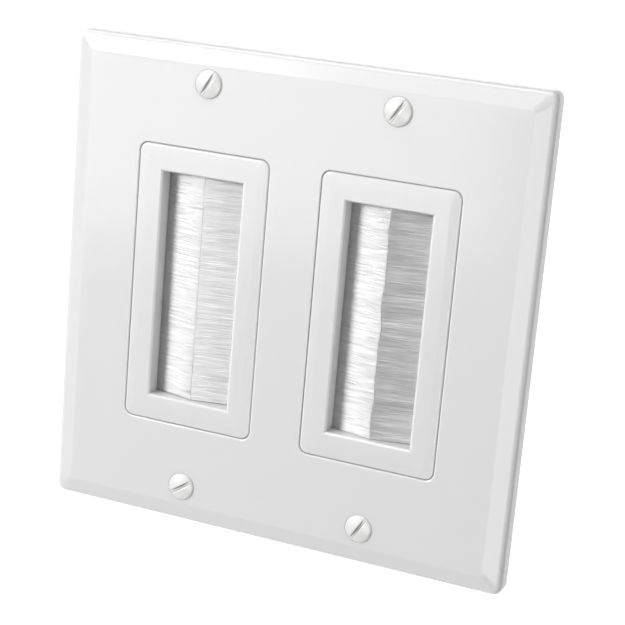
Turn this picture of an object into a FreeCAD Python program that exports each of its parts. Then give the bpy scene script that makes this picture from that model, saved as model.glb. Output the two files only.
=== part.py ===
import FreeCAD, Part
import math
import os
import re

import Sketcher
from FreeCAD import Rotation, Vector

# Two-gang brush wall plate: a moulded cover over two framed brush inserts that let cables through.
# Millimetres. X runs to the right, Y into the wall and Z up. The wall's surface is the plane Y = 0,
# the origin is the middle of the cover's back rim, and the cover's front looks along -Y.

doc = FreeCAD.newDocument("BrushWallPlate")
sheet = doc.addObject("Spreadsheet::Sheet", "Sizes")

# Driving dimensions: the name of each size and its value in millimetres, or degrees for a tilt or turn.
SIZES = {
    "plate_width": 115.8,
    "plate_height": 114.3,
    "plate_depth": 5.6,
    "plate_corner": 2.0,
    "shoulder_width": 4.4,
    "shoulder_drop": 1.2,
    "shoulder_round": 1.5,
    "face_corner": 1.0,
    "face_round": 2.0,
    "strap_room": 2.0,
    "side_wall": 2.0,
    "rib_wall": 1.2,
    "rib_gap": 0.4,
    "gang_spacing": 46.04,
    "plate_screw_edge": 8.73,
    "box_screw_step": 6.75,
    "opening_width": 33.3,
    "opening_edge": 23.85,
    "opening_corner": 2.2,
    "opening_round": 0.35,
    "insert_gap": 0.12,
    "bezel_proud": 0.1,
    "bezel_border": 2.4,
    "bezel_drop": 0.15,
    "bezel_round": 0.5,
    "bezel_inner_corner": 0.6,
    "bezel_bar_side": 6.23,
    "bezel_bar_end": 6.13,
    "window_wall": 4.0,
    "window_chamfer": 0.4,
    "strap_width": 38.0,
    "strap_gap": 2.15,
    "strap_thickness": 1.6,
    "strap_corner": 4.0,
    "collar_wall": 1.8,
    "collar_depth": 3.6,
    "lip_width": 1.2,
    "seat_clearance": 0.1,
    "brush_tilt": 13.6,
    "bristle_thickness": 1.8,
    "bristle_clearance": 0.1,
    "bristle_meeting": 0.25,
    "tuft_pitch": 1.35,
    "tuft_depth": 0.2,
    "channel_depth": 4.2,
    "channel_height": 3.2,
    "channel_wall": 0.5,
    "wire_diameter": 1.2,
    "wire_inset": 2.2,
    "retainer_thickness": 1.6,
    "retainer_pad": 3.2,
    "screw_diameter": 3.5,
    "screw_length": 12.7,
    "screw_neck_diameter": 2.8,
    "thread_clearance": 0.05,
    "hole_clearance": 0.35,
    "head_diameter": 6.65,
    "head_cone_tilt": 41.0,
    "head_dome": 1.0,
    "head_edge": 0.3,
    "head_edge_rise": 0.4,
    "head_slot_width": 1.05,
    "head_slot_depth": 1.1,
    "boss_wall": 1.1,
    "box_screw_length": 22.0,
    "box_head_diameter": 6.6,
    "box_head_height": 1.6,
    "box_slot_depth": 0.9,
    "neck_relief": 0.4,
    "strap_slot_length": 7.0,
    "small_screw_diameter": 2.0,
    "small_screw_length": 6.0,
    "small_head_diameter": 3.8,
    "small_head_height": 1.2,
    "small_screw_across": 25.0,
    "small_slot_width": 0.6,
    "small_slot_depth": 0.7,
    "slot_turn_top_left": 60.0,
    "slot_turn_top_right": 57.0,
    "slot_turn_bottom_left": 34.0,
    "slot_turn_bottom_right": 58.5,
}
for row, (alias, value) in enumerate(SIZES.items(), start=1):
    sheet.set(f"A{row}", alias)
    sheet.set(f"B{row}", str(value))
    sheet.setAlias(f"B{row}", alias)
doc.recompute()

# How near two levels lie when an edge's box counts as flat, in millimetres.
FLATNESS = 0.001


def in_sheet(expression):
    """The expression with the sheet's name put before each size."""
    return re.sub(r"\b[a-z]+_[a-z_]+\b", lambda found: "Sizes." + found.group(), expression)


def bind(thing, prop, expression):
    thing.setExpression(prop, in_sheet(expression))


def value_of(expression):
    return FreeCAD.Units.Quantity(sheet.evalExpression(in_sheet(expression))).Value


def new_body(name):
    body = doc.addObject("PartDesign::Body", name)
    body.Label = name
    return body


def sketch_on(body, plane, name, across="0", up="0", out="0"):
    """An empty sketch on one of the body's own planes, moved along the plane and along its normal."""
    sketch = body.newObject("Sketcher::SketchObject", name)
    support = [f for f in body.Origin.OriginFeatures if f.Role == plane][0]
    sketch.AttachmentSupport = (support, [""])
    sketch.MapMode = "FlatFace"
    bind(sketch, "AttachmentOffset.Base.x", across)
    bind(sketch, "AttachmentOffset.Base.y", up)
    bind(sketch, "AttachmentOffset.Base.z", out)
    return sketch


def fix_point(sketch, line, end, across, up):
    """Holds one point of a sketch at two expressions, measured from the sketch's origin."""
    for kind, expression in (("DistanceX", across), ("DistanceY", up)):
        index = sketch.addConstraint(
            Sketcher.Constraint(kind, -1, 1, line, end, value_of(expression))
        )
        bind(sketch, f"Constraints[{index}]", expression)


def closed_ring(sketch, curves):
    """Adds curves that follow each other and joins the end of each to the start of the next."""
    ring = [sketch.addGeometry(curve) for curve in curves]
    for one, following in zip(ring, ring[1:] + ring[:1]):
        sketch.addConstraint(Sketcher.Constraint("Coincident", one, 2, following, 1))
    return ring


def outline(sketch, corners):
    """A closed outline of straight edges through corners given as pairs of expressions."""
    points = [Vector(value_of(x), value_of(y), 0) for x, y in corners]
    edges = [Part.LineSegment(a, b) for a, b in zip(points, points[1:] + points[:1])]
    for line, (x, y) in zip(closed_ring(sketch, edges), corners):
        fix_point(sketch, line, 1, x, y)


def rectangle(sketch, width, height):
    half_w, half_h = f"({width}) / 2", f"({height}) / 2"
    corners = [(-1, -1), (1, -1), (1, 1), (-1, 1)]
    outline(sketch, [(f"{i} * {half_w}", f"{j} * {half_h}") for i, j in corners])


def rounded_rectangle(sketch, width, height, radius):
    """A centred rectangle with round corners, as four lines joined by four tangent arcs."""
    half_w = value_of(width) / 2
    half_h = value_of(height) / 2
    r = value_of(radius)
    quarter = math.pi / 2
    for i, (sx, sy) in enumerate([(1, 1), (-1, 1), (-1, -1), (1, -1)]):
        centre = Vector(sx * (half_w - r), sy * (half_h - r), 0)
        circle = Part.Circle(centre, Vector(0, 0, 1), r)
        sketch.addGeometry(Part.ArcOfCircle(circle, i * quarter, (i + 1) * quarter))
    for i in range(4):
        start = sketch.getPoint(i, 2)
        end = sketch.getPoint((i + 1) % 4, 1)
        sketch.addGeometry(Part.LineSegment(start, end))
    for i in range(4):
        sketch.addConstraint(Sketcher.Constraint("Tangent", i, 2, 4 + i, 1))
        sketch.addConstraint(Sketcher.Constraint("Tangent", 4 + i, 2, (i + 1) % 4, 1))
    for i, kind in enumerate(("Horizontal", "Vertical", "Horizontal", "Vertical")):
        sketch.addConstraint(Sketcher.Constraint(kind, 4 + i))
    for i in range(1, 4):
        sketch.addConstraint(Sketcher.Constraint("Equal", 0, i))
    bound = sketch.addConstraint(Sketcher.Constraint("Radius", 0, r))
    bind(sketch, f"Constraints[{bound}]", radius)
    fix_point(sketch, 0, 3, f"({width}) / 2 - {radius}", f"({height}) / 2 - {radius}")
    fix_point(sketch, 2, 3, f"{radius} - ({width}) / 2", f"{radius} - ({height}) / 2")


def circle(sketch, across, up, radius):
    centre = Vector(value_of(across), value_of(up), 0)
    index = sketch.addGeometry(Part.Circle(centre, Vector(0, 0, 1), value_of(radius)))
    fix_point(sketch, index, 3, across, up)
    bound = sketch.addConstraint(Sketcher.Constraint("Radius", index, value_of(radius)))
    bind(sketch, f"Constraints[{bound}]", radius)


def pad(body, sketch, length):
    """Material from the sketch along its normal."""
    feature = body.newObject("PartDesign::Pad", sketch.Name + "Pad")
    feature.Profile = sketch
    bind(feature, "Length", length)
    return feature


def cut(body, sketch, length):
    """A pocket from the sketch along its normal."""
    feature = body.newObject("PartDesign::Pocket", sketch.Name + "Cut")
    feature.Profile = sketch
    feature.Reversed = True
    bind(feature, "Length", length)
    return feature


def edges_where(feature, test):
    """The names of a feature's edges whose box passes a test."""
    doc.recompute()
    found = enumerate(feature.Shape.Edges, start=1)
    return [f"Edge{i}" for i, edge in found if test(edge.BoundBox)]


def round_edges(body, base, names, radius):
    feature = body.newObject("PartDesign::Fillet", base.Name + "Round")
    feature.Base = (base, names)
    bind(feature, "Radius", radius)
    return feature


def place(thing, across="0", back="0", up="0"):
    bind(thing, "Placement.Base.x", across)
    bind(thing, "Placement.Base.y", back)
    bind(thing, "Placement.Base.z", up)


def same_height(box, level):
    """Whether an edge's box lies flat at one depth in Y."""
    return abs(box.YMin - level) < FLATNESS and abs(box.YMax - level) < FLATNESS


def rim_edges(feature, depth, across, width, height):
    """The edges that lie flat at a depth in front of the wall and within a rectangle about a place across."""
    level, middle = -value_of(depth), value_of(across)
    half_w, half_h = value_of(width) / 2 + FLATNESS, value_of(height) / 2 + FLATNESS
    return edges_where(
        feature,
        lambda box: same_height(box, level) and -half_h < box.ZMin and box.ZMax < half_h
        and middle - half_w < box.XMin and box.XMax < middle + half_w,
    )


# Places that several pieces share.
GANG = "gang_spacing / 2"
PLATE_SCREW_Z = "(plate_height / 2 - plate_screw_edge)"
BOX_SCREW_Z = f"({PLATE_SCREW_Z} - box_screw_step)"
OPENING_HEIGHT = "(plate_height - 2 * opening_edge)"
BEZEL_WIDTH = "(opening_width - 2 * insert_gap)"
BEZEL_HEIGHT = f"({OPENING_HEIGHT} - 2 * insert_gap)"
BEZEL_CORNER = "(opening_corner - insert_gap)"
WINDOW_WIDTH = f"({BEZEL_WIDTH} - 2 * bezel_bar_side)"
WINDOW_HEIGHT = f"({BEZEL_HEIGHT} - 2 * bezel_bar_end)"
STRAP_LENGTH = "(plate_height - 2 * side_wall - 2 * strap_gap)"
CEILING = "(strap_thickness + strap_room)"
RIB_DEPTH = "(strap_room - rib_gap)"
# The mouth of a brush channel, from the middle of its window: across, and back from the wall's surface.
MOUTH_X = f"({WINDOW_WIDTH} / 2 + lip_width + seat_clearance)"
MOUTH_Y = (
    "(window_wall - plate_depth + bristle_clearance + tan(brush_tilt) * (lip_width + seat_clearance)"
    " + bristle_thickness / 2 / cos(brush_tilt))"
)
SEAT_END_X = (
    f"({WINDOW_WIDTH} / 2 + lip_width + 2 * seat_clearance + channel_depth * cos(brush_tilt)"
    " + channel_height / 2 * sin(brush_tilt))"
)
COLLAR_WIDTH = f"(2 * {SEAT_END_X} + 2 * collar_wall)"
BRUSH_LENGTH = f"({WINDOW_HEIGHT} - 2 * bristle_clearance)"
SMALL_SCREW_Z = f"({WINDOW_HEIGHT} + {BEZEL_HEIGHT}) / 4"
PLATE_SCREW_PLACES = [
    (f"{i} * {GANG}", f"{j} * {PLATE_SCREW_Z}") for j in (1, -1) for i in (-1, 1)
]
SMALL_SCREW_PLACES = [
    (f"{i} * small_screw_across / 2", f"{j} * {SMALL_SCREW_Z}") for j in (1, -1) for i in (-1, 1)
]


def channel_line(across, away):
    """The depth in Y of a line beside a brush's middle; away is its offset from it, + to the back."""
    return f"{MOUTH_Y} + tan(brush_tilt) * (({across}) - {MOUTH_X}) + ({away}) / cos(brush_tilt)"


def shouldered_block(body, name, width, height, corner, inner_corner, start, depth, border, drop):
    """A rounded block that steps in over a sloped border to a smaller front face."""
    base = sketch_on(body, "XZ_Plane", name + "Base", out=start)
    rounded_rectangle(base, width, height, corner)
    pad(body, base, f"{depth} - {start} - {drop}")
    foot = sketch_on(body, "XZ_Plane", name + "Foot", out=f"{depth} - {drop}")
    rounded_rectangle(foot, width, height, corner)
    face = sketch_on(body, "XZ_Plane", name + "Face", out=depth)
    rounded_rectangle(face, f"{width} - 2 * {border}", f"{height} - 2 * {border}", inner_corner)
    slope = body.newObject("PartDesign::AdditiveLoft", name + "Slope")
    slope.Profile = foot
    slope.Sections = [face]
    slope.Ruled = True
    return slope


def cover_plate():
    """The moulded cover: shouldered front, hollow back with ribs and bosses, and two openings."""
    body = new_body("cover_plate")
    slope = shouldered_block(
        body, "Cover", "plate_width", "plate_height", "plate_corner", "face_corner",
        "0", "plate_depth", "shoulder_width", "shoulder_drop",
    )
    whole = ("0", "plate_width", "plate_height")
    foot = rim_edges(slope, "plate_depth - shoulder_drop", *whole)
    outer = round_edges(body, slope, foot, "shoulder_round")
    round_edges(body, outer, rim_edges(outer, "plate_depth", *whole), "face_round")
    hollow = sketch_on(body, "XZ_Plane", "CoverHollow")
    rounded_rectangle(
        hollow, "plate_width - 2 * side_wall", "plate_height - 2 * side_wall", "plate_corner / 2"
    )
    cut(body, hollow, CEILING)
    upright = sketch_on(body, "XZ_Plane", "UprightRib", out=f"{CEILING} - {RIB_DEPTH}")
    rectangle(upright, "rib_wall", "plate_height - 2 * side_wall")
    pad(body, upright, RIB_DEPTH)
    for side, name in ((1, "Top"), (-1, "Bottom")):
        level = f"{side} * ({OPENING_HEIGHT} + {BOX_SCREW_Z} * 2 - box_head_diameter) / 4"
        rib = sketch_on(body, "XZ_Plane", name + "Rib", up=level, out=f"{CEILING} - {RIB_DEPTH}")
        rectangle(rib, "plate_width - 2 * side_wall", "rib_wall")
        pad(body, rib, RIB_DEPTH)
    bosses = sketch_on(body, "XZ_Plane", "CoverBosses", out="strap_thickness")
    for x, z in PLATE_SCREW_PLACES:
        circle(bosses, x, z, "screw_diameter / 2 + hole_clearance + boss_wall")
    pad(body, bosses, f"{CEILING} - strap_thickness")
    for side, name in ((-1, "Left"), (1, "Right")):
        opening = sketch_on(body, "XZ_Plane", name + "Opening", across=f"{side} * {GANG}")
        rounded_rectangle(opening, "opening_width", OPENING_HEIGHT, "opening_corner")
        opened = cut(body, opening, "plate_depth")
        rim = rim_edges(opened, "plate_depth", f"{side} * {GANG}", "opening_width", OPENING_HEIGHT)
        round_edges(body, opened, rim, "opening_round")
    holes = sketch_on(body, "XZ_Plane", "CoverHoles", out="plate_depth")
    for x, z in PLATE_SCREW_PLACES:
        circle(holes, x, z, "screw_diameter / 2 + hole_clearance")
    doc.recompute()
    drilled = body.newObject("PartDesign::Hole", "CoverSeats")
    drilled.Profile = holes
    doc.recompute()
    drilled.Threaded = False
    drilled.DepthType = "ThroughAll"
    drilled.HoleCutType = "Countersink"
    bind(drilled, "Diameter", "screw_diameter + 2 * hole_clearance")
    bind(drilled, "HoleCutDiameter", "head_diameter + 2 * seat_clearance")
    bind(drilled, "HoleCutCountersinkAngle", "2 * head_cone_tilt")
    return body


def insert_frame(side, name):
    """The moulded insert: a bordered bezel with a window, on a strap, with seats for two brushes behind."""
    body = new_body(name + "_insert_frame")
    tag = name.title()
    strap = sketch_on(body, "XZ_Plane", tag + "Strap")
    rounded_rectangle(strap, "strap_width", STRAP_LENGTH, "strap_corner")
    pad(body, strap, "strap_thickness")
    front = "(plate_depth + bezel_proud)"
    slope = shouldered_block(
        body, tag + "Bezel", BEZEL_WIDTH, BEZEL_HEIGHT, BEZEL_CORNER, "bezel_inner_corner",
        "strap_thickness", front, "bezel_border", "bezel_drop",
    )
    foot = rim_edges(slope, f"{front} - bezel_drop", "0", BEZEL_WIDTH, BEZEL_HEIGHT)
    round_edges(body, slope, foot, "bezel_round")
    collar = sketch_on(body, "XZ_Plane", tag + "Collar", out="-collar_depth")
    rounded_rectangle(collar, COLLAR_WIDTH, BEZEL_HEIGHT, BEZEL_CORNER)
    pad(body, collar, "collar_depth")
    window = sketch_on(body, "XZ_Plane", tag + "Window", out="-collar_depth")
    rectangle(window, WINDOW_WIDTH, WINDOW_HEIGHT)
    opened = cut(body, window, f"collar_depth + {front}")
    bevel = body.newObject("PartDesign::Chamfer", tag + "WindowRim")
    bevel.Base = (opened, rim_edges(opened, front, "0", WINDOW_WIDTH, WINDOW_HEIGHT))
    bind(bevel, "Size", "window_chamfer")
    seats = sketch_on(body, "XY_Plane", tag + "Seats", out=f"-{WINDOW_HEIGHT} / 2")
    lip_x = f"{WINDOW_WIDTH} / 2 + lip_width"
    crease_y = "window_wall - plate_depth"
    away = "-channel_height / 2 - seat_clearance"
    right = [
        (f"{WINDOW_WIDTH} / 2", crease_y),
        (lip_x, f"{crease_y} + tan(brush_tilt) * lip_width"),
        (lip_x, channel_line(lip_x, away)),
        (SEAT_END_X, channel_line(SEAT_END_X, away)),
        (SEAT_END_X, "collar_depth"),
    ]
    left = [(f"-({x})", y) for x, y in reversed(right)]
    outline(seats, right + left)
    cut(body, seats, WINDOW_HEIGHT)
    threads = sketch_on(body, "XZ_Plane", tag + "Threads")
    for j in (1, -1):
        circle(threads, "0", f"{j} * {PLATE_SCREW_Z}", "screw_diameter / 2 + thread_clearance")
    cut(body, threads, "strap_thickness")
    for j, end in ((1, "Top"), (-1, "Bottom")):
        slot = sketch_on(body, "XZ_Plane", tag + end + "Slot", up=f"{j} * {BOX_SCREW_Z}")
        width = "screw_diameter + 2 * hole_clearance"
        rounded_rectangle(slot, "strap_slot_length", width, f"(({width}) / 2 - thread_clearance)")
        cut(body, slot, "strap_thickness")
    pilots = sketch_on(body, "XZ_Plane", tag + "Pilots", out="-collar_depth")
    for x, z in SMALL_SCREW_PLACES:
        circle(pilots, x, z, "small_screw_diameter / 2 + thread_clearance")
    cut(body, pilots, "small_screw_length")
    place(body, across=f"{side} * {GANG}")
    return body


def rear_retainer(side, name):
    """The frame screwed on behind an insert, whose sloped pads hold the two channels in their seats."""
    body = new_body(name + "_rear_retainer")
    tag = name.title()
    plate = sketch_on(body, "XZ_Plane", tag + "Retainer", out="-collar_depth - retainer_thickness")
    rounded_rectangle(plate, COLLAR_WIDTH, BEZEL_HEIGHT, BEZEL_CORNER)
    pad(body, plate, "retainer_thickness")
    window = sketch_on(
        body, "XZ_Plane", tag + "RetainerWindow", out="-collar_depth - retainer_thickness"
    )
    rectangle(window, WINDOW_WIDTH, WINDOW_HEIGHT)
    cut(body, window, "retainer_thickness")
    pads = sketch_on(body, "XY_Plane", tag + "Pads", out=f"-{BRUSH_LENGTH} / 2")
    start, end = MOUTH_X, f"{MOUTH_X} + retainer_pad"
    back = "channel_height / 2"
    right = [
        (start, "collar_depth"),
        (start, channel_line(start, back)),
        (end, channel_line(end, back)),
        (end, "collar_depth"),
    ]
    outline(pads, right)
    outline(pads, [(f"-({x})", y) for x, y in reversed(right)])
    pad(body, pads, BRUSH_LENGTH)
    holes = sketch_on(body, "XZ_Plane", tag + "RetainerHoles", out="-collar_depth - retainer_thickness")
    for x, z in SMALL_SCREW_PLACES:
        circle(holes, x, z, "small_screw_diameter / 2 + hole_clearance")
    cut(body, holes, "retainer_thickness")
    place(body, across=f"{side} * {GANG}")
    return body


def place_brush(body, insert, hand):
    """Turns and moves a brush piece from its own frame, where -X runs along the bristles, to its seat."""
    place(body, across=f"{insert} * {GANG} + {hand} * {MOUTH_X}", back=MOUTH_Y)
    body.Placement.Rotation = Rotation(Vector(0, 0, 1), 0)
    bind(body, "Placement.Rotation.Angle", "brush_tilt" if hand > 0 else "180 - brush_tilt")


def channel(insert, hand, name):
    """The folded metal channel that grips one row of bristles."""
    body = new_body(name + "_channel")
    section = sketch_on(body, "XY_Plane", name.title() + "Channel", out=f"-{BRUSH_LENGTH} / 2")
    half, inner = "channel_height / 2", "(channel_height / 2 - channel_wall)"
    floor = "(channel_depth - channel_wall)"
    outline(section, [
        ("0", f"-{half}"), ("channel_depth", f"-{half}"), ("channel_depth", half), ("0", half),
        ("0", inner), (floor, inner), (floor, f"-{inner}"), ("0", f"-{inner}"),
    ])
    pad(body, section, BRUSH_LENGTH)
    place_brush(body, insert, hand)
    return body


def core_wire(insert, hand, name):
    """The wire that the bristles are folded round inside their channel."""
    body = new_body(name + "_core_wire")
    section = sketch_on(body, "XY_Plane", name.title() + "Wire", out=f"-{BRUSH_LENGTH} / 2")
    circle(section, "wire_inset", "0", "wire_diameter / 2")
    pad(body, section, BRUSH_LENGTH)
    place_brush(body, insert, hand)
    return body


def bristles(insert, hand, name):
    """One row of bristles, from the fold round the wire to the tips at the middle of the window."""
    body = new_body(name + "_bristles")
    tag = name.title()
    section = sketch_on(body, "XY_Plane", tag + "Row", out=f"-{BRUSH_LENGTH} / 2")
    meeting = f"({MOUTH_X} - {hand} * bristle_meeting - bristle_clearance / 2)"
    reach = f"({meeting} / cos(brush_tilt))"
    half = "bristle_thickness / 2"
    skew = f"{hand} * bristle_thickness / 2 * tan(brush_tilt)"
    fold = "(wire_inset + wire_diameter / 2 + channel_wall)"
    outline(section, [
        (f"-{reach} - {skew}", f"-{half}"), (fold, f"-{half}"), (fold, half), (f"-{reach} + {skew}", half),
    ])
    pad(body, section, BRUSH_LENGTH)
    bore = sketch_on(body, "XY_Plane", tag + "Bore", out=f"-{BRUSH_LENGTH} / 2")
    circle(bore, "wire_inset", "0", "wire_diameter / 2")
    cut(body, bore, BRUSH_LENGTH)
    furrow = sketch_on(
        body, "YZ_Plane", tag + "Furrow", up=f"(tuft_pitch - {BRUSH_LENGTH}) / 2", out=f"-{MOUTH_X} * 2"
    )
    for face in (-1, 1):
        outline(furrow, [
            (f"{face} * ({half} + tuft_depth)", "-tuft_depth"),
            (f"{face} * ({half} + tuft_depth)", "tuft_depth"),
            (f"{face} * ({half} - tuft_depth)", "0"),
        ])
    first = cut(body, furrow, f"{MOUTH_X} * 2 - lip_width")
    row = body.newObject("PartDesign::LinearPattern", tag + "Tufts")
    row.Originals = [first]
    row.Direction = (furrow, ["V_Axis"])
    bind(row, "Occurrences", f"floor({BRUSH_LENGTH} / tuft_pitch)")
    bind(row, "Length", f"(floor({BRUSH_LENGTH} / tuft_pitch) - 1) * tuft_pitch")
    body.Tip = row
    place_brush(body, insert, hand)
    return body


def domed_outline(section, rim, rise, rest):
    """Half a turned shape: an arc from the axis over a head to its rim, then straight edges to the axis."""
    r = value_of(rim[0])
    tip = -value_of(rise)
    swell = value_of(rim[1]) - tip
    ball = (r * r + swell * swell) / (2 * swell)
    centre = Vector(0, ball + tip, 0)
    start = -math.pi / 2
    dome = Part.ArcOfCircle(Part.Circle(centre, Vector(0, 0, 1), ball), start, start + math.asin(r / ball))
    corners = [rim] + rest + [("0", f"-({rise})")]
    points = [Vector(value_of(x), value_of(y), 0) for x, y in corners]
    edges = [Part.LineSegment(a, b) for a, b in zip(points, points[1:])]
    arc, *lines = closed_ring(section, [dome] + edges)
    section.addConstraint(Sketcher.Constraint("PointOnObject", arc, 3, -2))
    for line, (x, y) in zip(lines, corners):
        fix_point(section, line, 1, x, y)
    fix_point(section, arc, 1, *corners[-1])


def slotted_screw(name, rim, rise, rest, slot_width, slot_depth):
    """A screw along Y with its slotted head towards -Y, standing on the plane Y = 0."""
    body = new_body(name)
    section = sketch_on(body, "XY_Plane", name + "Profile")
    domed_outline(section, rim, rise, rest)
    turned = body.newObject("PartDesign::Revolution", name + "Turned")
    turned.Profile = section
    turned.ReferenceAxis = (section, ["V_Axis"])
    slot = sketch_on(body, "XZ_Plane", name + "Slot", out=f"{rise} - {slot_depth}")
    rectangle(slot, f"2 * ({rim[0]}) + 2 * {rise}", slot_width)
    cut(body, slot, f"2 * {slot_depth}")
    return body


def group(name, screw, places):
    """Copies of one screw, each with its place, its turn about its own axis and a half turn if reversed."""
    links = []
    for i, (x, y, z, turn, reversed_end) in enumerate(places):
        link = doc.addObject("App::Link", f"{name}_{i}")
        link.LinkedObject = screw
        flip = Rotation(Vector(1, 0, 0), 180 if reversed_end else 0)
        link.Placement.Rotation = flip.multiply(Rotation(Vector(0, 1, 0), -value_of(turn)))
        place(link, across=x, back=y, up=z)
        links.append(link)
    bundle = doc.addObject("Part::Compound", name)
    bundle.Label = name
    bundle.Links = links
    return bundle


def plate_screws():
    """The four oval-headed screws through the cover, each stopped at its own turn."""
    head, shank = "head_diameter / 2", "screw_diameter / 2"
    cone = f"({head} - {shank}) / tan(head_cone_tilt)"
    rim = (f"{head} - head_edge", "-head_edge_rise")
    rest = [(head, "0"), (shank, cone), (shank, "screw_length"), ("0", "screw_length")]
    screw = slotted_screw("plate_screw", rim, "head_dome", rest, "head_slot_width", "head_slot_depth")
    turns = [
        "slot_turn_top_left", "slot_turn_top_right", "slot_turn_bottom_left", "slot_turn_bottom_right",
    ]
    places = [(x, "-plate_depth", z, turn, False) for (x, z), turn in zip(PLATE_SCREW_PLACES, turns)]
    return group("plate_screws", screw, places)


def box_screws():
    """The four screws that hold the straps to the wall box, each with a relieved neck in its slot."""
    neck, shank = "screw_neck_diameter / 2", "screw_diameter / 2"
    relieved = "(strap_thickness + neck_relief)"
    rest = [
        (neck, "0"), (neck, relieved), (shank, relieved),
        (shank, "box_screw_length"), ("0", "box_screw_length"),
    ]
    rim = ("box_head_diameter / 2", "0")
    screw = slotted_screw("box_screw", rim, "box_head_height", rest, "head_slot_width", "box_slot_depth")
    places = [
        (f"{i} * {GANG}", "-strap_thickness", f"{j} * {BOX_SCREW_Z}", "0", False)
        for i in (-1, 1) for j in (-1, 1)
    ]
    return group("box_screws", screw, places)


def retainer_screws(side, name, screw):
    """The four small screws that hold a retainer to its insert from behind."""
    places = [
        (f"{side} * {GANG} + {x}", "collar_depth + retainer_thickness", z, "0", True)
        for x, z in SMALL_SCREW_PLACES
    ]
    return group(name + "_retainer_screws", screw, places)


def small_screw():
    """The screw of the retainers."""
    rim = ("small_head_diameter / 2", "0")
    shank = "small_screw_diameter / 2"
    rest = [(shank, "0"), (shank, "small_screw_length"), ("0", "small_screw_length")]
    return slotted_screw(
        "small_screw", rim, "small_head_height", rest, "small_slot_width", "small_slot_depth"
    )


def brush(insert, hand, name):
    """One strip brush: the channel, its wire and its bristles."""
    return [channel(insert, hand, name), core_wire(insert, hand, name), bristles(insert, hand, name)]


def all_parts():
    parts = [cover_plate(), plate_screws(), box_screws()]
    screw = small_screw()
    for side, name in ((-1, "left"), (1, "right")):
        parts += [insert_frame(side, name), rear_retainer(side, name), retainer_screws(side, name, screw)]
        for hand, hand_name in ((-1, "left"), (1, "right")):
            parts += brush(side, hand, f"{name}_insert_{hand_name}")
    return parts


def check_and_write(parts):
    """Stops on a failed feature or a bad solid, then writes each sub-part to a file of its name."""
    doc.recompute()
    failed = [thing.Name for thing in doc.Objects if {"Invalid", "Error"} & set(thing.State)]
    for part in parts:
        shape = part.Shape
        if shape.isNull() or not shape.isValid() or not shape.Solids:
            failed.append(part.Label)
    if failed:
        raise RuntimeError("not built: " + ", ".join(failed))
    os.makedirs("parts", exist_ok=True)
    for part in parts:
        part.Shape.exportStep(f"parts/{part.Label}.step")
        print(part.Label, len(part.Shape.Solids), round(part.Shape.Volume, 1))


check_and_write(all_parts())
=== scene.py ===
import math

import bmesh
import bpy
import numpy as np
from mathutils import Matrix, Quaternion, Vector


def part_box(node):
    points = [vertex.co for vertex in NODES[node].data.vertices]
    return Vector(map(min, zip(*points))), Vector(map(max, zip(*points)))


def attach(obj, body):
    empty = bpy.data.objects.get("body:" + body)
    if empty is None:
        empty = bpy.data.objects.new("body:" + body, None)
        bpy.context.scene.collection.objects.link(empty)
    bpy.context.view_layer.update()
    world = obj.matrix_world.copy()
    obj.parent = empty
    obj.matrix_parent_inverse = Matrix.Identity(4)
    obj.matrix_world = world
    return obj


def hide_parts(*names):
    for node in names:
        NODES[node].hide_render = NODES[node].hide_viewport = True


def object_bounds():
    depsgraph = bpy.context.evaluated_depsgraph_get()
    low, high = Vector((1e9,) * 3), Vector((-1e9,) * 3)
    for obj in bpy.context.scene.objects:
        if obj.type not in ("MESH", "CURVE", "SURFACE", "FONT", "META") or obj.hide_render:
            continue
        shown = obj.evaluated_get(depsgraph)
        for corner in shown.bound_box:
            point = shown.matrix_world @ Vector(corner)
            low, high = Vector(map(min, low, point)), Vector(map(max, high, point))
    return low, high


# A white two-gang wall plate with two brush inserts, photographed from the right and a little above.
# Metres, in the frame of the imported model: X to the right, Y into the wall and Z up.

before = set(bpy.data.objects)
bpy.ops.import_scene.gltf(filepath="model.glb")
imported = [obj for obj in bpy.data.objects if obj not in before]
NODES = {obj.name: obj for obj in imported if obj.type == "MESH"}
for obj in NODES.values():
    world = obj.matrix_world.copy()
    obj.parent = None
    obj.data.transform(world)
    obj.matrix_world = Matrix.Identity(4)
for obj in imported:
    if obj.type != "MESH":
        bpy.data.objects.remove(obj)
BOUNDS_AT_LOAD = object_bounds()
MM = 0.001

# Camera.
CAMERA_PLACE = Vector((0.155851, -0.367239, 0.102947))
CAMERA_AZIMUTH = math.radians(22.3695)
CAMERA_ELEVATION = math.radians(14.6917)
CAMERA_ROLL = math.radians(4.9294)
CAMERA_LENS = 102.716
CAMERA_SENSOR = 36.0
CAMERA_CLIP = (0.01, 50.0)

# Brush rows: the strip's section, its packed core and its filaments.
BRUSH_TILT = math.radians(13.6)
CHANNEL_HEIGHT = 3.2 * MM
ROW_THICKNESS = 1.8 * MM
WIRE_INSET = 2.2 * MM
WIRE_RADIUS = 0.6 * MM
CORE_INSET = 0.3 * MM
CORE_TIP_INSET = 0.35 * MM
FILAMENT_RADIUS = 0.052 * MM
FILAMENT_SIDES = 3
FILAMENTS_PER_ROW = 4400
SKIN_SHARE = 0.8
FOLD_GAP = 1.5 * FILAMENT_RADIUS
FOLD_LENGTH = 1.6 * WIRE_RADIUS
TUFT_PITCH = 1.35 * MM
TIP_SPREAD = 0.06 * MM
TIP_START = 0.993
LEFT_TIP_SHORT = 0.08 * MM
RIGHT_TIP_PAST = 0.55 * MM
SIDE_DRIFT = 0.09 * MM
TUFT_DRIFT = 0.03 * MM
WAVE_HEIGHT = 0.015 * MM
WAVE_RUN = 5.0

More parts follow.
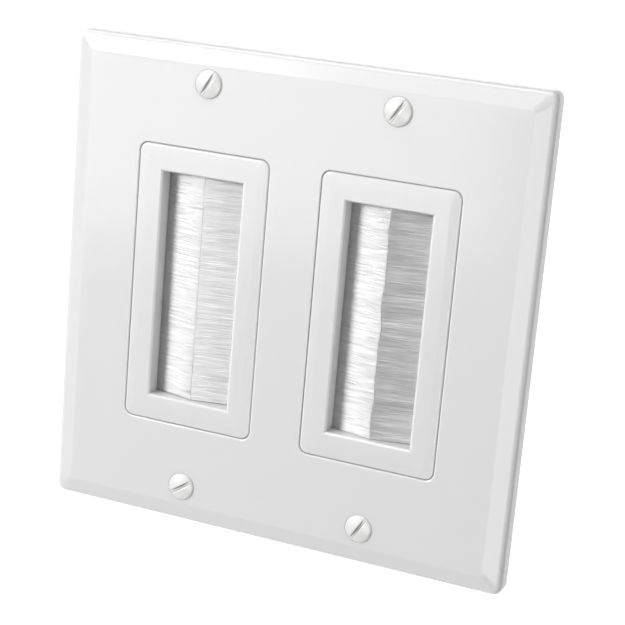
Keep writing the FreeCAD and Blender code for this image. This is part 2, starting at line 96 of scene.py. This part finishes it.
# How an insert's seam wanders, and how far the face of a row lies back in places.
WANDER_WAVES = 6
WANDER_SHORTEST = 5.0 * MM
WANDER_LONGEST = 16.0 * MM
SEAM_WANDER = {"left": 0.1 * MM, "right": 0.35 * MM}
SEAM_SEED = {"left": 5, "right": 8}
FACE_RECESS = {"left": 0.08 * MM, "right": 0.16 * MM}
RECESS_SEED_STEP = 100

# Screws: the slotted heads. The edge is a head's steep rim. The shank starts at the foot, behind the rim.
PLATE_HEAD = {
    "radius": 3.325 * MM,
    "rise": 1.0 * MM,
    "edge": 0.3 * MM,
    "edge_rise": 0.4 * MM,
    "foot": 1.812 * MM,
}
BOX_HEAD = {
    "radius": 3.3 * MM,
    "rise": 1.6 * MM,
    "edge": 0.1 * MM,
    "edge_rise": 0.2 * MM,
    "foot": 0.0,
}
PLATE_SLOT_TURNS = {(-1, 1): 60.0, (1, 1): 57.0, (-1, -1): 34.0, (1, -1): 58.5}
BOX_SLOT_TURNS = {(-1, 1): 8.0, (1, 1): -31.0, (-1, -1): 72.0, (1, -1): 19.0}
PLATE_SLOT_DEPTH = 0.62 * MM
BOX_SLOT_DEPTH = 0.9 * MM
SLOT_HALF_WIDTH = 0.38 * MM
SLOT_SOFTNESS = 0.08 * MM

# How finely a head is divided: along the slot, and across it on the slot's floor, its wall and the rest.
POINTS_ALONG = 33
FLOOR_POINTS = 3
WALL_POINTS = 7
OUTER_POINTS = 14
FLOOR_EDGE = 0.8 * SLOT_HALF_WIDTH
OUTER_START = math.asin(0.22)
OUTER_END = math.radians(88.5)

# Screws: the shanks and their threads.
SHANK_RADIUS = 1.75 * MM
NECK_RADIUS = 1.4 * MM
NECK_LENGTH = 2.0 * MM
THREAD_PITCH = 0.794 * MM
THREAD_DEPTH = 0.4 * MM
THREAD_RUN_IN = 1.5 * THREAD_PITCH
RINGS_PER_TURN = 8
THREAD_SEGMENTS = 32
TIP_TAPER = 1.0 * MM
TIP_WIDTH = 0.7
TIP_POINT = 0.001 * MM

# A noise pattern keeps mostly between these two values.
NOISE_LOW = 0.3
NOISE_HIGH = 0.7

# How far light spreads inside the plastics.
PLASTIC_MILKINESS = 1.4 * MM
NYLON_MILKINESS = 0.5 * MM

# Colour of the bristle rows: how much of it is streaks, and how far painted shade makes it rise from left to
# right.
STREAK_SHARE = 0.4
PAINTED_SHADE_RISE = 0.2

# Studio.
WORLD_STRENGTH = 0.24
FLOOR_DEPTH = 0.9
FLOOR_WIDTH = 6.0
FLOOR_FRONT = 3.0
FLOOR_BACK = 1.2
SWEEP_RADIUS = 0.4
SWEEP_STEPS = 12
SWEEP_HEIGHT = 1.9


def grey(level):
    """A colour without a tint."""
    return (level, level, level)


def node_tree(material):
    """The nodes and the links of a material."""
    material.use_nodes = True
    return material.node_tree.nodes, material.node_tree.links


def new_material(name, colour, roughness, metallic=0.0):
    """A surface with the same colour, gloss and metalness all over."""
    material = bpy.data.materials.new(name)
    nodes, _ = node_tree(material)
    surface = nodes["Principled BSDF"]
    surface.inputs["Base Color"].default_value = (*colour, 1.0)
    surface.inputs["Roughness"].default_value = roughness
    surface.inputs["Metallic"].default_value = metallic
    return material


def add_noise(material, scale, stretch=(1.0, 1.0, 1.0), detail=4.0):
    """A noise pattern in the object's own coordinates, in metres."""
    nodes, links = node_tree(material)
    place = nodes.new("ShaderNodeTexCoord")
    mapping = nodes.new("ShaderNodeMapping")
    mapping.inputs["Scale"].default_value = stretch
    noise = nodes.new("ShaderNodeTexNoise")
    noise.inputs["Scale"].default_value = scale
    noise.inputs["Detail"].default_value = detail
    links.new(place.outputs["Object"], mapping.inputs["Vector"])
    links.new(mapping.outputs["Vector"], noise.inputs["Vector"])
    return noise.outputs["Fac"]


def add_bump(material, pattern, height):
    """Turns a pattern into small relief of a height in metres."""
    nodes, links = node_tree(material)
    bump = nodes.new("ShaderNodeBump")
    bump.inputs["Strength"].default_value = 1.0
    bump.inputs["Distance"].default_value = height
    surface = nodes["Principled BSDF"]
    already = surface.inputs["Normal"].links
    if already:
        links.new(already[0].from_socket, bump.inputs["Normal"])
    links.new(pattern, bump.inputs["Height"])
    links.new(bump.outputs["Normal"], surface.inputs["Normal"])


def vary(material, pattern, socket, low, high):
    """Lets a pattern move one of the surface's numbers between two values."""
    nodes, links = node_tree(material)
    spread = nodes.new("ShaderNodeMapRange")
    spread.inputs["From Min"].default_value = NOISE_LOW
    spread.inputs["From Max"].default_value = NOISE_HIGH
    spread.inputs["To Min"].default_value = low
    spread.inputs["To Max"].default_value = high
    links.new(pattern, spread.inputs["Value"])
    links.new(spread.outputs["Result"], nodes["Principled BSDF"].inputs[socket])


def vary_colour(material, pattern, dark, light):
    """Lets a pattern move the surface's colour between two colours."""
    nodes, links = node_tree(material)
    ramp = nodes.new("ShaderNodeValToRGB")
    ramp.color_ramp.elements[0].position = NOISE_LOW
    ramp.color_ramp.elements[0].color = (*dark, 1.0)
    ramp.color_ramp.elements[1].position = NOISE_HIGH
    ramp.color_ramp.elements[1].color = (*light, 1.0)
    links.new(pattern, ramp.inputs["Fac"])
    links.new(ramp.outputs["Color"], nodes["Principled BSDF"].inputs["Base Color"])


def make_milky(material, weight, distance):
    """Lets light spread a little way inside a plastic."""
    nodes, _ = node_tree(material)
    surface = nodes["Principled BSDF"]
    surface.inputs["Subsurface Weight"].default_value = weight
    surface.inputs["Subsurface Radius"].default_value = (1.0, 1.0, 1.0)
    surface.inputs["Subsurface Scale"].default_value = distance


def moulded_plastic(name, colour, roughness):
    """Glossy moulded plastic with the faint waviness of its mould."""
    material = new_material(name, colour, roughness)
    make_milky(material, weight=0.85, distance=PLASTIC_MILKINESS)
    waves = add_noise(material, scale=90.0, detail=1.0)
    add_bump(material, waves, height=0.006 * MM)
    grain = add_noise(material, scale=4000.0, detail=2.0)
    add_bump(material, grain, height=0.0006 * MM)
    vary(material, waves, "Roughness", low=roughness * 0.9, high=roughness * 1.15)
    return material


def painted_metal():
    """White enamel over a steel head, a little uneven."""
    material = new_material("white_enamel", (0.58, 0.58, 0.575), roughness=0.22)
    runs = add_noise(material, scale=900.0, detail=3.0)
    add_bump(material, runs, height=0.02 * MM)
    vary(material, runs, "Roughness", low=0.16, high=0.3)
    return material


def plated_steel():
    """Zinc plating, with fine cloudy grain."""
    material = new_material("zinc_plating", (0.62, 0.63, 0.65), roughness=0.32, metallic=1.0)
    clouds = add_noise(material, scale=700.0, detail=5.0)
    vary_colour(material, clouds, dark=(0.50, 0.52, 0.55), light=(0.70, 0.71, 0.73))
    vary(material, clouds, "Roughness", low=0.24, high=0.42)
    return material


def rolled_aluminium():
    """Folded strip with drawing lines along its length."""
    material = new_material("rolled_aluminium", (0.72, 0.73, 0.75), roughness=0.34, metallic=1.0)
    lines = add_noise(material, scale=3000.0, stretch=(1.0, 1.0, 0.02), detail=3.0)
    vary(material, lines, "Roughness", low=0.26, high=0.46)
    add_bump(material, lines, height=0.002 * MM)
    return material


def paint_shade_along_x(material, pattern, low_x, high_x):
    """Calms a pattern and adds a slope of painted shade to it, darker at one X and lighter at another."""
    nodes, links = node_tree(material)
    middle = (1 - STREAK_SHARE) / 2
    place = nodes.new("ShaderNodeTexCoord")
    parts = nodes.new("ShaderNodeSeparateXYZ")
    slope = nodes.new("ShaderNodeMapRange")
    slope.inputs["From Min"].default_value = low_x
    slope.inputs["From Max"].default_value = high_x
    slope.inputs["To Min"].default_value = middle - PAINTED_SHADE_RISE
    slope.inputs["To Max"].default_value = middle + PAINTED_SHADE_RISE
    total = nodes.new("ShaderNodeMath")
    total.operation = "MULTIPLY_ADD"
    total.inputs[1].default_value = STREAK_SHARE
    links.new(place.outputs["Object"], parts.inputs["Vector"])
    links.new(parts.outputs["X"], slope.inputs["Value"])
    links.new(pattern, total.inputs[0])
    links.new(slope.outputs["Result"], total.inputs[2])
    return total.outputs["Value"]


def nylon(row, dark, light):
    """Milky nylon filament of one row, with streaks from tuft to tuft and painted shade that makes it grow
    lighter along X.
    """
    low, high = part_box(row)
    material = new_material(row + "_nylon", grey(light), roughness=0.6)
    make_milky(material, weight=0.2, distance=NYLON_MILKINESS)
    streaks = add_noise(material, scale=900.0, stretch=(0.06, 0.3, 1.0), detail=3.0)
    # Painted shade: the row's colour is darker at its low X and lighter at its high X.
    pattern = paint_shade_along_x(material, streaks, low.x, high.x)
    vary_colour(material, pattern, grey(dark), grey(light))
    return material


def give(names, material):
    """Puts one material on CAD nodes."""
    for name in names:
        mesh = NODES[name].data
        mesh.materials.clear()
        mesh.materials.append(material)


def mesh_object(name, points, faces, material):
    """A smoothly shaded mesh object at the origin."""
    mesh = bpy.data.meshes.new(name)
    mesh.from_pydata([tuple(p) for p in points], [], [tuple(f) for f in faces])
    mesh.polygons.foreach_set("use_smooth", [True] * len(mesh.polygons))
    mesh.materials.append(material)
    mesh.update()
    piece = bpy.data.objects.new(name, mesh)
    bpy.context.scene.collection.objects.link(piece)
    return piece


def new_piece(name, points, faces, material):
    """A mesh object that rides on the only body."""
    piece = mesh_object(name, points, faces, material)
    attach(piece, "root")
    return piece


def row_frame(insert, side):
    """The mouth of a row's channel, and the unit vectors from it along the bristles and across the row."""
    low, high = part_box(f"{insert}_insert_{side}_channel")
    hand = 1 if side == "right" else -1
    inner = low.x if hand > 0 else high.x
    half = CHANNEL_HEIGHT / 2
    mouth = Vector((inner + hand * half * math.sin(BRUSH_TILT), low.y + half * math.cos(BRUSH_TILT), 0))
    along = Vector((-hand * math.cos(BRUSH_TILT), -math.sin(BRUSH_TILT), 0))
    across = Vector((-hand * math.sin(BRUSH_TILT), math.cos(BRUSH_TILT), 0))
    return mouth, along, across


def wander(z, seed):
    """A smooth line between -1 and 1 along a window's height, made of a few waves of random phase."""
    rng = np.random.default_rng(seed)
    length = rng.uniform(WANDER_SHORTEST, WANDER_LONGEST, WANDER_WAVES)
    phase = rng.uniform(0.0, 2 * math.pi, WANDER_WAVES)
    return np.sin(z[:, None] * 2 * math.pi / length + phase).sum(axis=1) / WANDER_WAVES


def tip_line(side, low, high):
    """Where a row's tips end on average. The two rows of an insert cross a little at the seam."""
    return high.x - LEFT_TIP_SHORT if side == "left" else low.x - RIGHT_TIP_PAST


def filament_paths(insert, side, seed):
    """The centre lines of a row's filaments, as an array of filaments by points by three coordinates."""
    rng = np.random.default_rng(seed)
    mouth, along, across = row_frame(insert, side)
    low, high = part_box(f"{insert}_insert_{side}_bristles")
    count = FILAMENTS_PER_ROW
    margin = FILAMENT_RADIUS
    z = rng.uniform(low.z + margin, high.z - margin, count)
    seam = SEAM_WANDER[insert] * wander(z, SEAM_SEED[insert])
    reach = np.abs(tip_line(side, low, high) + seam - mouth.x) / math.cos(BRUSH_TILT)
    half = ROW_THICKNESS / 2 - FILAMENT_RADIUS
    skin = np.where(rng.random(count) < 0.5, -1.0, 1.0) * rng.uniform(half - CORE_INSET, half, count)
    depth = np.where(rng.random(count) < SKIN_SHARE, skin, rng.uniform(-half, half, count))
    recess = FACE_RECESS[insert] * (1 + wander(z, seed + RECESS_SEED_STEP)) / 2
    tuft = np.floor((z - low.z) / TUFT_PITCH).astype(int)
    tufts = tuft.max() + 1
    lean = rng.normal(0.0, SIDE_DRIFT, count) + rng.normal(0.0, TUFT_DRIFT, tufts)[tuft]
    short = np.abs(rng.normal(0.0, TIP_SPREAD, count))
    wave = rng.normal(0.0, WAVE_HEIGHT, count)
    phase = rng.uniform(0, 2 * math.pi, count)
    fold_side = np.where(depth >= 0, 1.0, -1.0)
    clear = WIRE_RADIUS + FOLD_GAP
    paths = [
        (np.full(count, -WIRE_INSET - clear), fold_side * 2 * FILAMENT_RADIUS, z),
        (np.full(count, -WIRE_INSET), fold_side * clear, z),
        (np.full(count, -WIRE_INSET + FOLD_LENGTH), fold_side * clear, z),
    ]
    for share in (0.0, 0.5, TIP_START, 1.0):
        bend = wave * np.sin(phase + WAVE_RUN * share)
        v = np.clip(depth + bend * share, -half, half)
        v += recess * (half - v) / (2 * half)
        across_z = np.clip(z + lean * share ** 2 + bend, low.z + margin, high.z - margin)
        paths.append((share * (reach - short), v, across_z))
    out = np.empty((count, len(paths), 3))
    for i, (t, v, height) in enumerate(paths):
        out[:, i, 0] = mouth.x + along.x * t + across.x * v
        out[:, i, 1] = mouth.y + along.y * t + across.y * v
        out[:, i, 2] = height
    return out


def tubes(paths, radius, sides):
    """Thin tubes round many centre lines of the same number of points. Each ends in a point."""
    count, steps, _ = paths.shape
    run = np.gradient(paths, axis=1)
    run /= np.linalg.norm(run, axis=2, keepdims=True)
    up = np.array([0.0, 0.0, 1.0])
    side = np.cross(run, up)
    side /= np.linalg.norm(side, axis=2, keepdims=True)
    lift = np.cross(side, run)
    angles = np.arange(sides) * 2 * math.pi / sides
    ring = (
        side[:, :, None, :] * np.cos(angles)[None, None, :, None]
        + lift[:, :, None, :] * np.sin(angles)[None, None, :, None]
    )
    ring[:, -1] = 0.0
    points = (paths[:, :, None, :] + ring * radius).reshape(-1, 3)
    first = (np.arange(count) * steps * sides)[:, None, None] + (np.arange(steps - 1) * sides)[None, :, None]
    a = np.arange(sides)[None, None, :]
    b = (a + 1) % sides
    corners = np.broadcast_arrays(first + a, first + b, first + sides + b, first + sides + a)
    return points, np.stack(corners, axis=-1).reshape(-1, 4)


def packed_core(insert, side):
    """The inside of a row, where the filaments lie too close for light to pass, as a plain block."""
    mouth, along, across = row_frame(insert, side)
    low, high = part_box(f"{insert}_insert_{side}_bristles")
    reach = abs(tip_line(side, low, high) - mouth.x) / math.cos(BRUSH_TILT)
    half = ROW_THICKNESS / 2 - CORE_INSET - FILAMENT_RADIUS
    ends = (-WIRE_INSET + WIRE_RADIUS, reach - CORE_TIP_INSET)
    levels = (low.z + CORE_INSET, high.z - CORE_INSET)
    points = [
        (mouth.x + along.x * t + across.x * v, mouth.y + along.y * t + across.y * v, z)
        for t in ends for v in (-half, half) for z in levels
    ]
    faces = [(0, 1, 3, 2), (4, 6, 7, 5), (0, 4, 5, 1), (2, 3, 7, 6), (0, 2, 6, 4), (1, 5, 7, 3)]
    return np.array(points), np.array(faces)


def bristle_row(insert, side, seed, dark, light):
    """One row of filaments round a packed core, in place of the CAD's solid row."""
    node = f"{insert}_insert_{side}_bristles"
    paths = filament_paths(insert, side, seed)
    points, faces = tubes(paths, FILAMENT_RADIUS, FILAMENT_SIDES)
    core_points, core_faces = packed_core(insert, side)
    faces = np.concatenate([faces, core_faces + len(points)])
    points = np.concatenate([points, core_points])
    piece = new_piece(node + "_filaments", points, faces, nylon(node, dark, light))
    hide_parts(node)


def brushes():
    """The four rows of bristles. The right insert's right row is the greyest, its darker tones being painted
    shade.
    """
    bristle_row("left", "left", seed=11, dark=0.75, light=0.93)
    bristle_row("left", "right", seed=12, dark=0.72, light=0.97)
    bristle_row("right", "left", seed=13, dark=0.76, light=0.95)
    # Painted shade: this row's darker tones stand in for the shade that falls on it.
    bristle_row("right", "right", seed=14, dark=0.40, light=0.88)


def smooth_step(x):
    """Rises softly from 0 to 1 while x goes from 0 to 1."""
    x = np.clip(x, 0.0, 1.0)
    return x * x * (3 - 2 * x)


def head_height(distance, head):
    """How far a slotted head stands over its rim, at a distance from its axis."""
    inner = head["radius"] - head["edge"]
    swell = head["rise"] - head["edge_rise"]
    ball = (inner * inner + swell * swell) / (2 * swell)
    over = head["edge_rise"] + np.sqrt(ball * ball - np.minimum(distance, inner) ** 2) - (ball - swell)
    fall = head["edge_rise"] * np.clip((head["radius"] - distance) / head["edge"], 0.0, 1.0)
    return np.where(distance < inner, over, fall)


def grid_faces(rows, columns, closed=False):
    """The quads of a grid of points, numbered by rows. A closed grid joins its last column to its first."""
    wide = columns if closed else columns - 1
    faces = []
    for i in range(rows - 1):
        for j in range(wide):
            k = (j + 1) % columns
            faces.append((i * columns + j, i * columns + k, (i + 1) * columns + k, (i + 1) * columns + j))
    return faces


def screw_head(head, slot_depth):
    """A slotted head down to where the shank starts, as points along the slot, behind the rim and across."""
    radius = head["radius"]
    floor_points = np.linspace(0.0, FLOOR_EDGE, FLOOR_POINTS)
    wall_points = SLOT_HALF_WIDTH + SLOT_SOFTNESS * np.linspace(-1.0, 1.0, WALL_POINTS)
    outer_points = radius * np.sin(np.linspace(OUTER_START, OUTER_END, OUTER_POINTS))
    positive = np.concatenate([floor_points, wall_points, outer_points])
    across = np.concatenate([-positive[:0:-1], positive])
    share = np.sin(np.linspace(-math.pi / 2, math.pi / 2, POINTS_ALONG))
    reach = np.sqrt(radius * radius - across ** 2)
    s = reach[:, None] * share[None, :]
    u = np.repeat(across[:, None], len(share), axis=1)
    top = head_height(np.hypot(s, u), head)
    wall = smooth_step((np.abs(u) - SLOT_HALF_WIDTH) / (2 * SLOT_SOFTNESS) + 0.5)
    level = np.minimum(head["rise"] - slot_depth, top)
    height = level + (top - level) * wall
    points = np.stack([s, -height, u], axis=-1)
    rows, columns = s.shape
    faces = grid_faces(rows, columns)
    number = np.arange(rows * columns).reshape(rows, columns)
    loop = np.concatenate([number[:-1, 0], number[-1, :-1], number[:0:-1, -1], number[0, :0:-1]])
    rim = points.reshape(-1, 3)[loop]
    outward = rim[:, [0, 2]] / np.linalg.norm(rim[:, [0, 2]], axis=1, keepdims=True)
    skirt = []
    for ring_radius, depth in ((radius, 0.0), (SHANK_RADIUS - THREAD_DEPTH, head["foot"])):
        ring = outward * ring_radius
        skirt.append(np.stack([ring[:, 0], np.full(len(loop), depth), ring[:, 1]], axis=-1))
    base = rows * columns
    for j in range(len(loop)):
        k = (j + 1) % len(loop)
        faces.append((loop[j], loop[k], base + k, base + j))
        faces.append((base + j, base + k, base + len(loop) + k, base + len(loop) + j))
    return np.concatenate([points.reshape(-1, 3)] + skirt), faces


def threaded_shank(start, thread_start, tip):
    """A shank along the axis: a plain neck, then a thread, then a tapered tip."""
    turns = (tip - thread_start) / THREAD_PITCH
    depth = np.concatenate([[start], np.linspace(thread_start, tip, int(turns * RINGS_PER_TURN))])
    angle = np.arange(THREAD_SEGMENTS) * 2 * math.pi / THREAD_SEGMENTS
    phase = (depth[:, None] / THREAD_PITCH - angle[None, :] / (2 * math.pi)) % 1.0
    crest = 1 - 2 * np.abs(phase - 0.5)
    run_in = smooth_step((depth - thread_start) / THREAD_RUN_IN)[:, None]
    radius = NECK_RADIUS + (SHANK_RADIUS - THREAD_DEPTH - NECK_RADIUS + THREAD_DEPTH * crest) * run_in
    taper = np.clip((tip - depth) / TIP_TAPER, 0.0, 1.0)[:, None]
    radius = radius * (TIP_WIDTH + (1 - TIP_WIDTH) * taper)
    radius[-1] = TIP_POINT
    behind = np.repeat(depth[:, None], THREAD_SEGMENTS, axis=1)
    points = np.stack([radius * np.cos(angle), behind, radius * np.sin(angle)], axis=-1)
    return points.reshape(-1, 3), grid_faces(len(depth), THREAD_SEGMENTS, closed=True)


def turned_to(points, centre, turn):
    """Points given along the slot, behind the rim and across the slot, moved to a screw's place."""
    c, s = math.cos(math.radians(turn)), math.sin(math.radians(turn))
    x = points[:, 0] * c - points[:, 2] * s
    z = points[:, 0] * s + points[:, 2] * c
    return np.stack([centre.x + x, centre.y + points[:, 1], centre.z + z], axis=-1)


def screw_set(node, head, slot_depth, turns, neck, material):
    """The four screws of a node, with softened slots and real threads, in place of the CAD's plain ones."""
    low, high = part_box(node)
    rim = low.y + head["rise"]
    shapes = [
        screw_head(head, slot_depth),
        threaded_shank(head["foot"], head["foot"] + neck, high.y - rim),
    ]
    points, faces = [], []
    for (i, j), turn in turns.items():
        centre = Vector((i * (high.x - head["radius"]), rim, j * (high.z - head["radius"])))
        for shape_points, shape_faces in shapes:
            base = sum(len(part) for part in points)
            points.append(turned_to(shape_points, centre, turn))
            faces += [[base + number for number in face] for face in shape_faces]
    piece = new_piece(node + "_threaded", np.concatenate(points), faces, material)
    shell = bmesh.new()
    shell.from_mesh(piece.data)
    bmesh.ops.recalc_face_normals(shell, faces=shell.faces)
    shell.to_mesh(piece.data)
    shell.free()
    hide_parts(node)


def screws(enamel, steel):
    """The cover's painted screws and the plated screws of the wall box."""
    screw_set("plate_screws", PLATE_HEAD, PLATE_SLOT_DEPTH, PLATE_SLOT_TURNS, 0.0, enamel)
    screw_set("box_screws", BOX_HEAD, BOX_SLOT_DEPTH, BOX_SLOT_TURNS, NECK_LENGTH, steel)


def area_light(name, place, target, size, power, reflection_only=False):
    """A rectangular soft light that looks at a target, or a card that is seen only in glossy surfaces."""
    data = bpy.data.lights.new(name, "AREA")
    data.shape = "RECTANGLE"
    data.size, data.size_y = size
    data.energy = power
    light = bpy.data.objects.new(name, data)
    light.location = place
    light.rotation_euler = (Vector(target) - Vector(place)).to_track_quat("-Z", "Y").to_euler()
    light.visible_camera = False
    light.visible_diffuse = not reflection_only
    bpy.context.scene.collection.objects.link(light)


def surroundings():
    """Faint, even light from all round."""
    world = bpy.data.worlds.new("studio")
    world.use_nodes = True
    back = world.node_tree.nodes["Background"]
    back.inputs["Color"].default_value = (1.0, 1.0, 1.0, 1.0)
    back.inputs["Strength"].default_value = WORLD_STRENGTH
    bpy.context.scene.world = world


def floor():
    """A plain pale floor below the plate, swept up into a backdrop behind it."""
    level = BOUNDS_AT_LOAD[0].z - FLOOR_DEPTH
    profile = [(-FLOOR_FRONT, level)]
    for i in range(SWEEP_STEPS + 1):
        angle = i * math.pi / (2 * SWEEP_STEPS)
        rise = SWEEP_RADIUS * (1 - math.cos(angle))
        profile.append((FLOOR_BACK + SWEEP_RADIUS * math.sin(angle), level + rise))
    profile.append((FLOOR_BACK + SWEEP_RADIUS, level + SWEEP_HEIGHT))
    points = [(x, y, z) for y, z in profile for x in (-FLOOR_WIDTH / 2, FLOOR_WIDTH / 2)]
    faces = [(2 * i, 2 * i + 1, 2 * i + 3, 2 * i + 2) for i in range(len(profile) - 1)]
    material = new_material("pale_floor", grey(0.8), roughness=0.8)
    mottle = add_noise(material, scale=3.0)
    vary(material, mottle, "Roughness", low=0.75, high=0.85)
    piece = mesh_object("floor", points, faces, material)


def camera():
    """The photograph's viewpoint."""
    data = bpy.data.cameras.new("camera")
    data.lens = CAMERA_LENS
    data.sensor_width = CAMERA_SENSOR
    data.clip_start, data.clip_end = CAMERA_CLIP
    piece = bpy.data.objects.new("camera", data)
    level = math.cos(CAMERA_ELEVATION)
    right = -math.sin(CAMERA_AZIMUTH) * level
    inward = math.cos(CAMERA_AZIMUTH) * level
    ahead = Vector((right, inward, -math.sin(CAMERA_ELEVATION)))
    piece.rotation_mode = "QUATERNION"
    piece.rotation_quaternion = ahead.to_track_quat("-Z", "Y") @ Quaternion((0, 0, 1), CAMERA_ROLL)
    piece.location = CAMERA_PLACE
    bpy.context.scene.collection.objects.link(piece)
    bpy.context.scene.camera = piece


def reflection_card(name, place, target, size, power):
    """A bright card that shows only as a reflection in glossy surfaces."""
    area_light(name, place, target, size, power, reflection_only=True)


def studio():
    """A key light from the left, softer lights from the right and above, and a bright backdrop."""
    surroundings()
    floor()
    area_light("key", (-0.68, -0.84, 0.31), target=(0, 0, 0), size=(0.42, 0.27), power=15.6)
    reflection_card("low_card", (-0.55, -0.97, -0.09), target=(-0.1, 0, 0), size=(0.6, 0.28), power=1.35)
    reflection_card("upper_card", (-0.46, -0.96, 0.42), target=(0, 0, 0), size=(0.7, 0.36), power=1.5)
    reflection_card("right_card", (0.27, -0.87, -0.25), target=(0.05, 0, 0), size=(0.5, 0.46), power=2.5)
    area_light("side_card", (0.85, -0.35, -0.05), target=(0.05, 0, 0), size=(1.1, 0.7), power=3.6)
    area_light("overhead", (-0.1, -0.18, 0.8), target=(0, 0, 0), size=(0.8, 0.4), power=3.6)
    area_light("background", (-0.55, 0.62, 0.35), target=(-0.55, 1.22, -0.45), size=(2.6, 0.4), power=27.0)
    bpy.context.scene.view_settings.view_transform = "Standard"


def finishes():
    """Gives every CAD node that stays in view its material, and puts in the screws."""
    cover = moulded_plastic("cover_plastic", grey(0.575), roughness=0.12)
    insert = moulded_plastic("insert_plastic", grey(0.575), roughness=0.14)
    retainer = moulded_plastic("retainer_plastic", (0.58, 0.58, 0.575), roughness=0.3)
    give(["cover_plate"], cover)
    give(["left_insert_frame", "right_insert_frame"], insert)
    give(["left_rear_retainer", "right_rear_retainer"], retainer)
    steel = plated_steel()
    screws(painted_metal(), steel)
    give(["left_retainer_screws", "right_retainer_screws"], steel)
    rows = [f"{hand}_insert_{side}" for hand in ("left", "right") for side in ("left", "right")]
    give([row + "_core_wire" for row in rows], steel)
    give([row + "_channel" for row in rows], rolled_aluminium())


finishes()
brushes()
studio()
camera()
